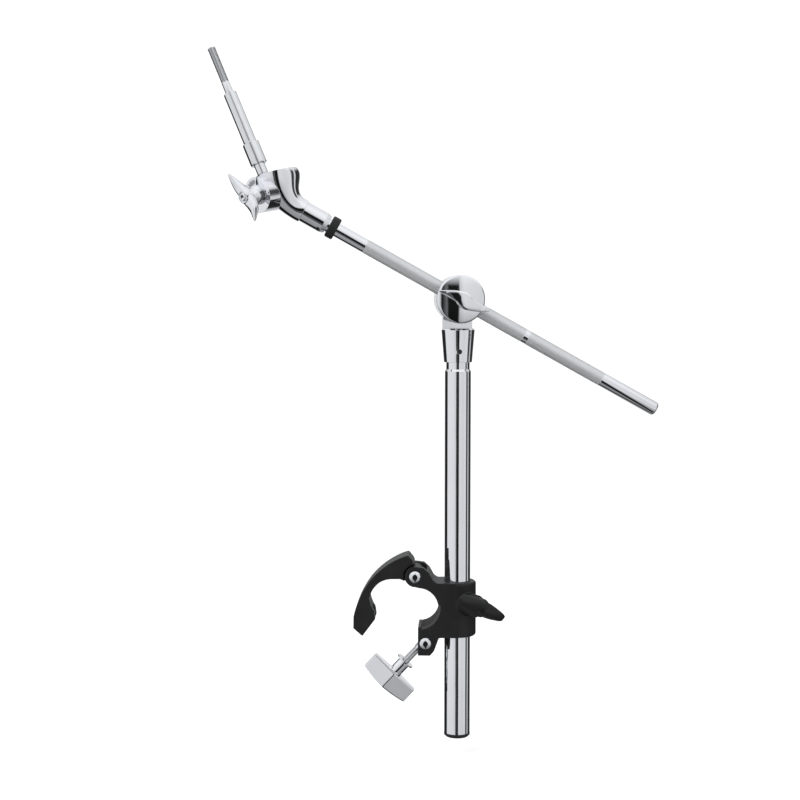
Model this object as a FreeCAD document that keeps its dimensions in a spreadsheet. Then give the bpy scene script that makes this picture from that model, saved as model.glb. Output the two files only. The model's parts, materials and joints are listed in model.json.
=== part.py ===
"""A boom arm for a cymbal, held on a rack pipe by a hinged clamp.

The origin is the middle of the clamped rack pipe. X points from the pipe to the post, Y away from
the side the hand nuts are on, and Z up. Lengths are in millimetres, angles in degrees.
"""

import FreeCAD, Part
import math
import os
import types

import Sketcher
from FreeCAD import Placement, Rotation, Vector

OUT_DIR = "parts"

# Longer than any sub-part, for cuts that go right through.
THROUGH = 300

# Every driving dimension: its name in the sheet, its value and what it is.
SIZES = (
    ("fit_gap", 0.05, "radial gap of a shaft that turns or slides in its hole"),
    ("face_gap", 0.1, "gap between two faces that turn on each other"),
    ("press_gap", 0.02, "radial gap of a sleeve pressed on a rod"),
    # rack clamp
    ("jaw_radius", 19.1, "radius of the jaw, for a rack pipe of 38.1"),
    ("clamp_half", 18.0, "half the depth of the clamp body"),
    ("clamp_top", 24.0, "top of the collar above the pipe axis"),
    ("clamp_bottom", -29.5, "bottom of the collar"),
    ("collar_radius", 18.2, "outer radius of the collar round the post"),
    ("rim_chamfer", 1.5, "chamfer on the collar rims"),
    ("arm_pin_x", -3.3, "arm pivot, across"),
    ("arm_pin_z", 30.1, "arm pivot, up"),
    ("bolt_pin_x", 6.9, "bolt pivot, across"),
    ("bolt_pin_z", -35.0, "bolt pivot, up"),
    ("pin_radius", 3.0, "radius of both pivot pins"),
    ("pin_head_radius", 5.7, "radius of the domed pin heads"),
    ("pin_head_rise", 2.4, "height of the domed pin heads"),
    ("lug_radius", 10.0, "radius of the upper lug round its pin"),
    ("tongue_half", 10.8, "half the width of the arm's tongue between the ears"),
    ("arm_half", 14.5, "half the width of the arm"),
    ("eye_radius", 7.6, "outer radius of the swing bolt's eye"),
    ("eye_half", 6.0, "half the width of the swing bolt's eye"),
    ("bolt_radius", 3.9, "radius of the M8 bolts and studs"),
    ("bolt_angle", 226.8, "direction of the swing bolt as it hangs"),
    ("washer_start", 28.9, "from the bolt pin to the knob washer"),
    ("washer_thickness", 1.5, "thickness of the knob washer"),
    ("washer_radius", 9.3, "radius of the knob washer"),
    ("knob_start", 44.0, "from the bolt pin to the bar of the knob"),
    ("knob_height", 16.0, "height of the bar's ends along the bolt"),
    ("knob_bow", 2.5, "how much higher the bar is in its middle"),
    ("knob_half_length", 26.0, "half the length of the bar"),
    ("knob_half_width", 9.5, "half the width of the bar in its middle"),
    ("knob_tip_half_width", 4.5, "half the width of the bar at its ends"),
    ("knob_boss_radius", 6.3, "radius of the boss under the bar"),
    ("knob_depth", 10.0, "how far the knob's blind thread reaches into the bar"),
    ("pad_thickness", 2.4, "thickness of the rubber pad"),
    # post lock
    ("lock_angle", 37.0, "direction of the lock screw, from the front towards +X"),
    ("lock_height", 3.5, "height of the lock screw"),
    ("lock_boss_radius", 11.0, "radius of the lock boss"),
    ("lock_boss_reach", 27.0, "from the post axis to the face of the boss"),
    ("lock_nut_flats", 13.0, "across the flats of the captive nut"),
    ("lock_nut_height", 6.5, "height of the captive nut"),
    ("lock_nut_gap", 0.9, "from the post to the captive nut"),
    ("wing_span", 30.0, "half the span of the lock wing"),
    ("wing_reach", 45.5, "from the post axis to the end of the wing's hub"),
    ("wing_roll", 27.0, "how far the wing is turned from level"),
    ("wing_hub_radius", 9.0, "radius of the wing's hub"),
    ("wing_blade", 7.0, "thickness of the wing's blades"),
    # post
    ("post_x", 37.4, "post axis, across"),
    ("post_radius", 12.7, "radius of the one-inch post"),
    ("post_wall", 1.5, "wall of the post tube"),
    ("post_bottom", -126.6, "lower end of the tube"),
    ("cap_height", 3.8, "height of the end cap below the tube"),
    ("neck_radius", 11.4, "radius of the swaged neck"),
    ("seam_height", 237.2, "lower end of the tilter's sleeve"),
    ("neck_length", 6.7, "visible length of the swaged neck"),
    ("neck_insert", 25.0, "length of the neck inside the sleeve"),
    # boom tilter
    ("tilt_height", 298.0, "height of the tilt axis"),
    ("head_yaw", 6.7, "turn of the tilter about the post"),
    ("boom_fall", 29.2, "fall of the boom from level"),
    ("rod_offset", 9.5, "from the post axis to the rod axis, towards the front"),
    ("rod_radius", 6.9, "radius of the boom rod"),
    ("drum_radius", 22.4, "radius of the drum and the ear"),
    ("drum_back", -3.0, "joint plane of the drum and the ear, in front of the post axis"),
    ("drum_front", 20.6, "front face of the drum"),
    ("ear_thickness", 12.0, "thickness of the ear"),
    ("sleeve_bottom_radius", 13.65, "radius of the sleeve at its lower end"),
    ("sleeve_top_radius", 16.2, "radius of the sleeve at its shoulder"),
    ("sleeve_top", -28.2, "shoulder of the sleeve, from the tilt axis"),
    ("screw_drop", 50.4, "from the tilt axis down to the set screw"),
    ("base_screw_radius", 2.3, "radius of that screw"),
    ("eye_wall", 3.6, "wall of the eye round the rod"),
    ("eye_lip", 1.8, "metal of the eye in front of the rod"),
    ("axle_head_radius", 8.0, "radius of the tilt screw's head"),
    ("axle_head_height", 4.5, "height of the tilt screw's head"),
    ("nut_radius", 23.1, "radius of the round nut"),
    ("nut_front", 27.5, "face of the round nut, in front of the post axis"),
    ("nut_bevel", 2.2, "bevel round the face of the nut"),
    ("lever_rise", 2.6, "height of the raised lever"),
    # boom
    ("rod_right", 220.0, "from the tilt axis to the low end of the rod"),
    ("rod_left", 178.0, "from the tilt axis to the high end of the rod"),
    ("ring_centre", 138.0, "from the tilt axis to the stop ring"),
    ("ring_width", 8.2, "width of the stop ring"),
    ("ring_radius", 10.75, "radius of the stop ring"),
    ("neck_near", 143.7, "near end of the neck sleeve"),
    ("neck_far", 169.4, "far end of the neck sleeve, at the casting"),
    ("neck_sleeve_radius", 10.05, "radius of the neck sleeve"),
    ("neck_screw_turn", -55.0, "direction of the neck sleeve's screw round the rod"),
    ("neck_screw_place", 6.5, "from the neck sleeve's near end to its screw"),
    ("neck_screw_radius", 1.95, "radius of the neck sleeve's screw"),
    # cymbal tilter
    ("elbow_distance", 204.7, "from the tilt axis to the cymbal tilter's axis"),
    ("elbow_roll", 34.4, "turn of the casting about the boom"),
    ("elbow_angle", 57.4, "between the boom and the cymbal tilter's axis"),
    ("flange_radius", 11.35, "radius of the casting's flange"),
    ("barrel_radius", 17.0, "radius of the casting's barrel"),
    ("barrel_near", 18.0, "barrel's face under the wing nut"),
    ("barrel_back", -8.0, "where the barrel ends inside the horn"),
    ("boss_radius", 9.5, "radius of the boss under the tilt bolt's head"),
    ("boss_far", -26.0, "face of that boss"),
    ("mouth_turn", 54.0, "direction the horn's mouth faces, round the tilt bolt"),
    ("mouth_lift", 17.7, "from the tilt bolt up to the mouth"),
    ("mouth_shift", 7.0, "how far the mouth's centre is towards the boom"),
    ("mouth_back", -6.5, "how far the mouth's centre is behind the rod"),
    ("mouth_radius", 19.6, "outer radius of the mouth"),
    ("mouth_wall", 1.7, "wall of the horn at its mouth"),
    ("bend_radius", 15.3, "radius of the horn half way round its bend"),
    ("cavity_floor", 3.0, "from the tilt bolt up to the floor of the horn's hollow"),
    ("floor_radius", 10.5, "radius of the hollow at its floor"),
    ("slot_half", 3.4, "half the width of the slot for the rod's tongue"),
    ("slot_start", 8.0, "first direction of the slot round the tilt bolt"),
    ("slot_end", 74.0, "last direction of the slot round the tilt bolt"),
    ("slot_reach", 10.0, "length of the slot's straight sides"),
    ("knuckle_radius", 8.8, "radius of the rod's knuckle"),
    ("tongue_end", 19.6, "from the tilt bolt to the round part of the rod"),
    ("rod_neck_radius", 5.3, "radius of the round part under the collar"),
    ("window_inner", 10.2, "inner radius of the two windows in the barrel's face"),
    ("window_outer", 14.4, "outer radius of the windows"),
    ("window_depth", 4.0, "depth of the windows"),
    ("window_sweep", 66.0, "how far each window reaches round the barrel"),
    ("upper_window", 48.0, "first direction of the upper window"),
    ("lower_window", 153.0, "first direction of the lower window"),
    ("cymbal_lean", 24.2, "lean of the cymbal rod in its slot"),
    ("cymbal_reach", 151.3, "from the cymbal tilter's axis to the tip of the rod"),
    ("thread_radius", 3.9, "radius of the M8 thread and of the plain shank under it"),
    ("core_radius", 4.7, "radius of the rod inside the seat and the collar"),
    ("seat_top", 103.6, "from the axis to the top of the cymbal seat"),
    ("seat_length", 52.0, "length of the cymbal seat"),
    ("seat_radius", 6.3, "radius of the cymbal seat"),
    ("collar_length", 22.0, "length of the collar"),
    ("rod_collar_radius", 8.0, "radius of the collar on the rod"),
    ("wing_hub_end", 36.0, "end of the wing nut's hub"),
    ("nut_wing_span", 26.3, "half the span of the wing nut"),
    ("wing_turn", 72.0, "direction of the wings round the tilt bolt"),
)


class Length:
    """A size that knows both its number and the sheet formula it comes from."""

    def __init__(self, number, formula):
        self.number = float(number)
        self.formula = formula

    def __add__(self, other):
        other = as_length(other)
        return Length(self.number + other.number, f"({self.formula} + {other.formula})")

    def __sub__(self, other):
        other = as_length(other)
        return Length(self.number - other.number, f"({self.formula} - {other.formula})")

    def __mul__(self, other):
        other = as_length(other)
        return Length(self.number * other.number, f"({self.formula} * {other.formula})")

    def __truediv__(self, other):
        other = as_length(other)
        return Length(self.number / other.number, f"({self.formula} / {other.formula})")

    def __neg__(self):
        return Length(-self.number, f"(-1 * {self.formula})")

    __radd__ = __add__
    __rmul__ = __mul__

    def __rsub__(self, other):
        return as_length(other) - self


def as_length(value):
    """The value as a Length; a plain number stands for itself."""
    if isinstance(value, Length):
        return value
    return Length(value, repr(float(value)))


def cosine(angle):
    """The cosine of an angle in degrees."""
    return Length(math.cos(math.radians(angle.number)), f"cos({angle.formula} * 1 deg)")


def sine(angle):
    """The sine of an angle in degrees."""
    return Length(math.sin(math.radians(angle.number)), f"sin({angle.formula} * 1 deg)")


def polar(angle, radius, bend=None):
    """A corner at a radius in a direction; bend is the radius of the arc to the next corner."""
    angle = as_length(angle)
    point = (radius * cosine(angle), radius * sine(angle))
    return point if bend is None else (*point, bend)


def make_sheet(doc):
    """The spreadsheet of driving dimensions, and the same sizes as Lengths."""
    sheet = doc.addObject("Spreadsheet::Sheet", "Sizes")
    sizes = types.SimpleNamespace()
    for row, (name, value, note) in enumerate(SIZES, start=1):
        sheet.set(f"A{row}", name)
        sheet.set(f"B{row}", str(value))
        sheet.set(f"C{row}", note)
        sheet.setAlias(f"B{row}", name)
        setattr(sizes, name, Length(value, f"Sizes.{name}"))
    return sizes


doc = FreeCAD.newDocument("boom_stand")
S = make_sheet(doc)
doc.recompute()


# ---------------------------------------------------------------- helpers


def bind(obj, **lengths):
    """Ties properties of an object to the sheet."""
    for name, value in lengths.items():
        obj.setExpression(name, as_length(value).formula)


def place(obj, x=0, y=0, z=0):
    """Ties an object's position to the sheet."""
    for axis, value in zip("xyz", (x, y, z)):
        obj.setExpression(f"Placement.Base.{axis}", as_length(value).formula)


def new_body(label):
    """An empty body with the sub-part's name."""
    body = doc.addObject("PartDesign::Body", label)
    body.Label = label
    return body


def new_sketch(body, plane, name, lift=None, turn=Rotation()):
    """A sketch on one of the body's own planes, lifted along or turned on it."""
    sketch = body.newObject("Sketcher::SketchObject", name)
    planes = {feature.Role: feature for feature in body.Origin.OriginFeatures}
    sketch.AttachmentSupport = (planes[plane], [""])
    sketch.MapMode = "FlatFace"
    sketch.AttachmentOffset = Placement(Vector(), turn)
    if lift is not None:
        sketch.setExpression("AttachmentOffset.Base.z", as_length(lift).formula)
    return sketch


def pin_point(sketch, geometry, position, point):
    """Holds one point of a sketch at coordinates from the sheet."""
    for kind, value in zip(("DistanceX", "DistanceY"), point):
        value = as_length(value)
        row = sketch.addConstraint(Sketcher.Constraint(kind, geometry, position, value.number))
        sketch.setExpression(f"Constraints[{row}]", value.formula)


def outline(sketch, corners):
    """A closed outline. A corner is (x, y), or (x, y, radius) when an arc leads to the next one.

    A positive radius has the arc's centre on the left of the way along the outline.
    """
    first = []
    last = []
    for here, after in zip(corners, corners[1:] + corners[:1]):
        start = Vector(as_length(here[0]).number, as_length(here[1]).number)
        end = Vector(as_length(after[0]).number, as_length(after[1]).number)
        if len(here) == 2:
            row = sketch.addGeometry(Part.LineSegment(start, end))
            first.append((row, 1))
            last.append((row, 2))
            continue
        radius = as_length(here[2])
        along = end - start
        rise = math.sqrt(max(radius.number**2 - along.Length**2 / 4, 0.0))
        left = Vector(-along.y, along.x) / along.Length
        centre = (start + end) / 2 + left * math.copysign(rise, radius.number)
        low, high = (start, end) if radius.number > 0 else (end, start)
        sweep = [math.atan2(p.y - centre.y, p.x - centre.x) for p in (low, high)]
        circle = Part.Circle(centre, Vector(0, 0, 1), abs(radius.number))
        row = sketch.addGeometry(Part.ArcOfCircle(circle, *sweep))
        first.append((row, 1 if radius.number > 0 else 2))
        last.append((row, 2 if radius.number > 0 else 1))
        size = radius if radius.number > 0 else -radius
        rule = sketch.addConstraint(Sketcher.Constraint("Radius", row, size.number))
        sketch.setExpression(f"Constraints[{rule}]", size.formula)
    for (row, position), end, corner in zip(first, last[-1:] + last[:-1], corners):
        sketch.addConstraint(Sketcher.Constraint("Coincident", end[0], end[1], row, position))
        pin_point(sketch, row, position, corner[:2])


def circle(sketch, x, y, radius):
    """A full circle with its centre and radius from the sheet."""
    centre = Vector(as_length(x).number, as_length(y).number)
    radius = as_length(radius)
    row = sketch.addGeometry(Part.Circle(centre, Vector(0, 0, 1), radius.number))
    rule = sketch.addConstraint(Sketcher.Constraint("Radius", row, radius.number))
    sketch.setExpression(f"Constraints[{rule}]", radius.formula)
    pin_point(sketch, row, 3, (x, y))


def hexagon(sketch, x, y, flats):
    """A hexagon with two flats upright."""
    angles = [math.radians(30 + 60 * k) for k in range(6)]
    scale = as_length(flats) / math.sqrt(3)
    outline(sketch, [(x + scale * math.cos(a), y + scale * math.sin(a)) for a in angles])


def pad(sketch, length, both=False, back=False):
    """Adds a sketch's prism to its body: one way, the other way or half each way."""
    feature = sketch.getParentGeoFeatureGroup().newObject("PartDesign::Pad", sketch.Name + "_pad")
    feature.Profile = sketch
    feature.SideType = "Symmetric" if both else "One side"
    feature.Reversed = back
    bind(feature, Length=length)
    return feature


def pocket(sketch, length, both=False, back=False):
    """Cuts a sketch's prism out of its body."""
    body = sketch.getParentGeoFeatureGroup()
    feature = body.newObject("PartDesign::Pocket", sketch.Name + "_pocket")
    feature.Profile = sketch
    feature.SideType = "Symmetric" if both else "One side"
    feature.Reversed = back
    bind(feature, Length=length)
    return feature


def revolve(sketch, cut=False):
    """Turns a half profile round the sketch's vertical axis, to add or to cut."""
    body = sketch.getParentGeoFeatureGroup()
    kind = "PartDesign::Groove" if cut else "PartDesign::Revolution"
    feature = body.newObject(kind, sketch.Name + "_turned")
    feature.Profile = sketch
    feature.ReferenceAxis = (sketch, ["V_Axis"])
    feature.Angle = 360
    return feature


def turned(label, corners):
    """A turned sub-part about its own Z axis from a half profile of (radius, height) corners."""
    body = new_body(label)
    sketch = new_sketch(body, "XZ_Plane", label + "_profile")
    outline(sketch, corners)
    revolve(sketch)
    return body


def slab(body, plane, name, corners, start, thickness, turn=Rotation()):
    """Adds a prism that starts at one height over a plane."""
    sketch = new_sketch(body, plane, name, start, turn)
    outline(sketch, corners)
    return pad(sketch, thickness)


def disc(body, plane, name, centre, radius, start, thickness):
    """Adds a round plate that starts at one height over a plane."""
    sketch = new_sketch(body, plane, name, start)
    circle(sketch, centre[0], centre[1], radius)
    return pad(sketch, thickness)


def drill(body, plane, name, centre, radius, start, depth, turn=Rotation()):
    """Cuts a round hole, from one height over a plane along its normal."""
    sketch = new_sketch(body, plane, name, start, turn)
    circle(sketch, centre[0], centre[1], radius)
    return pocket(sketch, depth, back=True)


def cut_across(body, plane, name, corners, width):
    """Cuts a slot of one width, half on each side of a plane."""
    sketch = new_sketch(body, plane, name)
    outline(sketch, corners)
    return pocket(sketch, width, both=True)


# ---------------------------------------------------------------- frames


UP = Vector(0, 0, 1)
ACROSS = Vector(1, 0, 0)
AWAY = Vector(0, 1, 0)


def head_frame():
    """On the post axis at the tilt axis, turned with the tilter; Z up, X along the boom."""
    return Placement(Vector(S.post_x.number, 0, S.tilt_height.number), Rotation(UP, S.head_yaw.number))


def boom_frame():
    """On the rod axis: X along the rod to its low end."""
    step = Vector(0, -S.rod_offset.number, 0)
    return head_frame() * Placement(step, Rotation(AWAY, S.boom_fall.number))


def drum_frame():
    """On the tilt axis: X along the rod, Z towards the front."""
    fall = Placement(Vector(), Rotation(AWAY, S.boom_fall.number))
    return head_frame() * fall * Placement(Vector(), Rotation(ACROSS, UP, -AWAY, "XYZ"))


def rod_frame():
    """On the rod axis: Z along the rod to its high end."""
    return boom_frame() * Placement(Vector(), Rotation(AWAY, -90))


def elbow_frame():
    """On the cymbal tilter's axis: Z out towards the wing nut."""
    centre = Placement(Vector(-S.elbow_distance.number, 0, 0), Rotation(ACROSS, S.elbow_roll.number))
    angle = math.radians(S.elbow_angle.number)
    out = Vector(-math.cos(angle), -math.sin(angle), 0)
    return boom_frame() * centre * Placement(Vector(), Rotation(UP, out.cross(UP), out, "XYZ"))


def cymbal_frame():
    """Along the cymbal rod: Z to its tip, X out towards the wing nut."""
    lean = math.radians(90 - S.cymbal_lean.number)
    along = Vector(math.cos(lean), math.sin(lean), 0)
    return elbow_frame() * Placement(Vector(), Rotation(UP, along.cross(UP), along, "XYZ"))


def bolt_frame():
    """On the lower pin: Z along the swing bolt."""
    angle = math.radians(S.bolt_angle.number)
    along = Vector(math.cos(angle), 0, math.sin(angle))
    pin = Vector(S.bolt_pin_x.number, 0, S.bolt_pin_z.number)
    return Placement(pin, Rotation(AWAY.cross(along), AWAY, along, "ZYX"))


def lock_frame():
    """On the post axis: Z out along the lock screw, X along the wing."""
    angle = math.radians(S.lock_angle.number)
    out = Vector(math.sin(angle), -math.cos(angle), 0)
    level = Rotation(UP.cross(out), UP, out, "ZYX")
    origin = Vector(S.post_x.number, 0, S.lock_height.number)
    return Placement(origin, level * Rotation(UP, -S.wing_roll.number))


# ---------------------------------------------------------------- rack clamp


def clamp_body():
    """The moulded body: side plate with jaw and lugs, collar round the post, boss of the lock."""
    body = new_body("clamp_body")
    jaw = S.jaw_radius
    side = new_sketch(body, "XZ_Plane", "side_plate")
    lobe_left = S.arm_pin_x - S.lug_radius
    outline(
        side,
        [
            # jaw
            polar(87, jaw, -jaw),
            (jaw, 0, -jaw),
            polar(-91.5, jaw),
            # lower lug
            (-0.6, S.bolt_pin_z - 12),
            (S.bolt_pin_x + 4.5, S.bolt_pin_z - 12),
            (S.bolt_pin_x + 8.5, S.bolt_pin_z - 7),
            (S.bolt_pin_x + 13, S.clamp_bottom),
            # collar
            (S.post_x, S.clamp_bottom),
            (S.post_x, S.clamp_top),
            # upper lug
            (S.arm_pin_x + 21.5, S.clamp_top),
            (S.arm_pin_x + 17.5, S.arm_pin_z - 3.5),
            (S.arm_pin_x + 13.5, S.arm_pin_z + 4),
            (S.arm_pin_x + 8, S.arm_pin_z + 9),
            (S.arm_pin_x, S.arm_pin_z + S.lug_radius, S.lug_radius),
            (lobe_left, S.arm_pin_z, S.lug_radius),
            (S.arm_pin_x, S.arm_pin_z - S.lug_radius),
        ],
    )
    pad(side, S.clamp_half * 2, both=True)

    collar = new_sketch(body, "XZ_Plane", "collar")
    rim = S.rim_chamfer
    outline(
        collar,
        [
            (0, S.clamp_bottom),
            (S.collar_radius - rim, S.clamp_bottom),
            (S.collar_radius, S.clamp_bottom + rim),
            (S.collar_radius, S.clamp_top - rim),
            (S.collar_radius - rim, S.clamp_top),
            (0, S.clamp_top),
        ],
    )
    collar.setExpression("AttachmentOffset.Base.x", S.post_x.formula)
    revolve(collar)

    lock = Rotation(AWAY, S.lock_angle.number)
    boss = new_sketch(body, "XZ_Plane", "lock_boss", turn=lock)
    circle(boss, 0, S.lock_height, S.lock_boss_radius)
    move_to_post(boss)
    pad(boss, S.lock_boss_reach)

    drill(body, "XY_Plane", "post_bore", (S.post_x, 0), S.post_radius + S.fit_gap, -THROUGH, 2 * THROUGH)

    half_flats = S.lock_nut_flats + 2 * S.fit_gap
    nest = new_sketch(body, "XZ_Plane", "nut_nest", turn=lock)
    hexagon(nest, 0, S.lock_height, half_flats)
    move_to_post(nest)
    pocket(nest, nut_start() + S.lock_nut_height + S.face_gap, back=True)
    stud_hole = new_sketch(body, "XZ_Plane", "stud_hole", turn=lock)
    circle(stud_hole, 0, S.lock_height, S.bolt_radius + 2 * S.fit_gap)
    move_to_post(stud_hole)
    pocket(stud_hole, THROUGH, back=True)

    arm_slot = box_corners(-jaw, S.arm_pin_z - S.lug_radius - 0.5, S.arm_pin_x + 11, 3 * jaw)
    cut_across(body, "XZ_Plane", "arm_slot", arm_slot, (S.tongue_half + S.face_gap) * 2)
    eye_room = S.eye_radius + 0.6
    bolt_slot = box_corners(-eye_room, -3 * jaw, S.bolt_pin_x + eye_room, S.bolt_pin_z + eye_room)
    cut_across(body, "XZ_Plane", "bolt_slot", bolt_slot, (S.eye_half + S.face_gap) * 2)

    deep = jaw + S.pad_thickness
    groove = [
        polar(8, jaw - 1),
        polar(8, deep, -deep),
        polar(-82, deep),
        polar(-82, jaw - 1, jaw - 1),
    ]
    cut_across(body, "XZ_Plane", "pad_groove", groove, S.clamp_half * 2 + 2)

    pin_hole(body, "arm_pin_hole", S.arm_pin_x, S.arm_pin_z)
    pin_hole(body, "bolt_pin_hole", S.bolt_pin_x, S.bolt_pin_z)


def box_corners(left, low, right, high):
    """The corners of an upright rectangle."""
    return [(left, low), (right, low), (right, high), (left, high)]


def pin_hole(body, name, x, z, plane="XZ_Plane", radius=S.pin_radius):
    """A hole right through a body for a pin or a bolt."""
    sketch = new_sketch(body, plane, name)
    circle(sketch, x, z, radius + S.fit_gap)
    pocket(sketch, THROUGH, both=True)


def move_to_post(sketch):
    """Slides a sketch of the lock across to the post axis."""
    sketch.setExpression("AttachmentOffset.Base.x", S.post_x.formula)


def nut_start():
    """From the post axis to the near face of the captive nut."""
    return S.post_radius + S.lock_nut_gap


def clamp_arm():
    """The swinging arm, with a narrow tongue on its pin and a slot in its tip for the bolt."""
    body = new_body("clamp_arm")
    side = new_sketch(body, "XZ_Plane", "side")
    x = S.arm_pin_x
    z = S.arm_pin_z
    eye = S.lug_radius - 0.8
    outline(
        side,
        [
            # round the pin and up to the shoulder
            (x + eye, z, eye),
            (x, z + eye),
            (x - 2, z + 14.5),
            (x - 6.8, z + 20.5),
            (x - 10.6, z + 19.5, 78),
            # over the back and down to the tip
            (x - 43.6, z - 4.3, 90),
            (x - 60.1, z - 40.7),
            (x - 60.2, z - 51.6),
            (x - 51.4, z - 59.3),
            # inside of the tip and the jaw
            (x - 38.8, z - 42.5),
            (x - 40, z - 34.5, -25),
            (x - 44.6, z - 22.9, -25),
            (x - 33.9, z - 6.1, -25),
            (x - 24.2, z - 3.1),
            (x - 14.5, z - 3),
            (x - eye * math.sqrt(0.5), z - eye * math.sqrt(0.5), eye),
        ],
    )
    pad(side, S.arm_half * 2, both=True)

    room = S.lug_radius + 1.2
    wide = S.arm_half * 2
    for name, start in (("front_ear_room", S.tongue_half), ("back_ear_room", -S.tongue_half - wide)):
        drill(body, "XZ_Plane", name, (x, z), room, start, wide)
    # the slot opens downwards and towards the jaw, so the bolt can swing out of it
    tip_slot = [(x - 30, z - 40), (x - 46, z - 29), (x - 74, z - 34), (x - 74, z - 56), (x - 46, z - 68)]
    cut_across(body, "XZ_Plane", "tip_slot", tip_slot, (S.bolt_radius + 1) * 2)
    pin_hole(body, "pin_hole", x, z)


def pivot_pin(label, x, z):
    """A pin through a pair of lugs with a domed head on each side."""
    head = S.clamp_half + S.face_gap
    crown = S.pin_head_radius * 0.45
    top = head + S.pin_head_rise
    edge = head + 0.5
    body = turned(
        label,
        [
            (0, -top),
            (crown, -top, S.pin_head_radius),
            (S.pin_head_radius, -edge),
            (S.pin_head_radius, -head),
            (S.pin_radius, -head),
            (S.pin_radius, head),
            (S.pin_head_radius, head),
            (S.pin_head_radius, edge, S.pin_head_radius),
            (crown, top),
            (0, top),
        ],
    )
    body.Placement = Placement(Vector(x.number, 0, z.number), Rotation(ACROSS, 90))


def jaw_pad():
    """The rubber strip in the fixed jaw."""
    body = new_body("jaw_pad")
    jaw = S.jaw_radius
    deep = jaw + S.pad_thickness - S.fit_gap
    strip = new_sketch(body, "XZ_Plane", "strip")
    outline(
        strip,
        [
            polar(7.8, jaw),
            polar(7.8, deep, -deep),
            polar(-81.8, deep),
            polar(-81.8, jaw, jaw),
        ],
    )
    pad(strip, S.clamp_half * 2 - 1, both=True)


def swing_bolt():
    """The eye bolt that pulls the arm shut."""
    body = turned(
        "swing_bolt",
        [
            (0, 0),
            (S.bolt_radius, 0),
            (S.bolt_radius, S.knob_start + 8),
            (S.bolt_radius - 1, S.knob_start + 9),
            (0, S.knob_start + 9),
        ],
    )
    eye = new_sketch(body, "XZ_Plane", "eye")
    circle(eye, 0, 0, S.eye_radius)
    pad(eye, S.eye_half * 2, both=True)
    pin_hole(body, "eye_hole", 0, 0)
    body.Placement = bolt_frame()


def washer(label, start, thickness, radius, bore, frame):
    """A plain washer."""
    end = start + thickness
    body = turned(label, [(bore, start), (radius, start), (radius, end), (bore, end)])
    body.Placement = frame


def clamp_knob():
    """The bar knob: a round boss under a thick bar, deepest in the middle, with a bowed back."""
    start = S.washer_start + S.washer_thickness + S.face_gap
    bore = S.bolt_radius + S.fit_gap
    blind = S.knob_start + S.knob_depth
    body = new_body("clamp_knob")
    low = S.knob_start
    half = S.knob_half_length
    deep = S.knob_half_width
    tip = S.knob_tip_half_width
    bar = [(-half, -tip), (0, -deep), (half, -tip), (half, tip), (0, deep), (-half, tip)]
    slab(body, "XY_Plane", "bar", bar, low, S.knob_height + S.knob_bow)
    disc(body, "XY_Plane", "boss", (0, 0), S.knob_boss_radius, start, low - start + 1)
    crown = low + S.knob_height
    bow = (half * half + S.knob_bow * S.knob_bow) / (2 * S.knob_bow)
    right = half + 5
    beyond = crown + S.knob_bow + 5
    back = [
        (-half, crown, -bow),
        (half, crown),
        (right, crown),
        (right, beyond),
        (-right, beyond),
        (-right, crown),
    ]
    cut_across(body, "XZ_Plane", "bowed_back", back, deep * 3)
    core = new_sketch(body, "XY_Plane", "thread", start)
    circle(core, 0, 0, bore)
    pocket(core, blind - start, back=True)
    body.Placement = bolt_frame()


def lock_nut():
    """The nut held captive inside the collar."""
    body = new_body("lock_nut")
    sketch = new_sketch(body, "XY_Plane", "flats", nut_start())
    hexagon(sketch, 0, 0, S.lock_nut_flats)
    circle(sketch, 0, 0, S.bolt_radius + S.fit_gap)
    pad(sketch, S.lock_nut_height)
    frame = lock_frame()
    frame.Rotation = frame.Rotation * Rotation(UP, S.wing_roll.number)
    body.Placement = frame


def lock_stud():
    """The threaded stud that presses on the post."""
    tip = S.post_radius + 0.15
    end = stud_end()
    body = turned(
        "lock_stud",
        [
            (0, tip),
            (S.bolt_radius - 0.8, tip),
            (S.bolt_radius, tip + 0.8),
            (S.bolt_radius, end),
            (0, end),
        ],
    )
    body.Placement = lock_frame()


def stud_end():
    """From the post axis to the outer end of the lock stud."""
    return S.wing_reach - 5


def lock_wing():
    """The wing grip of the post lock."""
    flange = S.lock_boss_reach + S.face_gap
    face = S.wing_reach
    bore = S.bolt_radius + S.fit_gap
    blind = stud_end() + S.face_gap
    hub = S.wing_hub_radius
    body = turned(
        "lock_wing",
        [
            (bore, flange),
            (S.lock_boss_radius, flange),
            (S.lock_boss_radius, flange + 2),
            (hub, flange + 3),
            (hub, face - 1.5),
            (hub - 1.5, face),
            (0, face),
            (0, blind),
            (bore, blind),
        ],
    )
    blade = new_sketch(body, "XZ_Plane", "blade")
    span = S.wing_span
    outline(
        blade,
        [
            (1 - hub, flange + 3),
            (hub - 1, flange + 3),
            # one tip
            (span - 6, face - 13),
            (span, face - 9),
            (span - 1, face - 3),
            (span - 6, face),
            # the other tip
            (-span + 6, face),
            (-span + 1, face - 3),
            (-span, face - 9),
            (-span + 6, face - 13),
        ],
    )
    pad(blade, S.wing_blade, both=True)
    core = new_sketch(body, "XY_Plane", "thread", flange)
    circle(core, 0, 0, bore)
    pocket(core, blind - flange, back=True)
    body.Placement = lock_frame()


# ---------------------------------------------------------------- post


def post_tube():
    """The tube, swaged down at its top to go into the tilter's sleeve."""
    outer = S.post_radius
    neck = S.neck_radius
    wall = S.post_wall
    shoulder = S.seam_height - S.neck_length
    top = S.seam_height + S.neck_insert
    body = turned(
        "post_tube",
        [
            (outer - wall, S.post_bottom),
            (outer, S.post_bottom),
            (outer, shoulder - 2),
            (neck, shoulder),
            (neck, top),
            (neck - wall, top),
            (neck - wall, shoulder),
            (outer - wall, shoulder - 2),
        ],
    )
    place(body, x=S.post_x)


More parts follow.
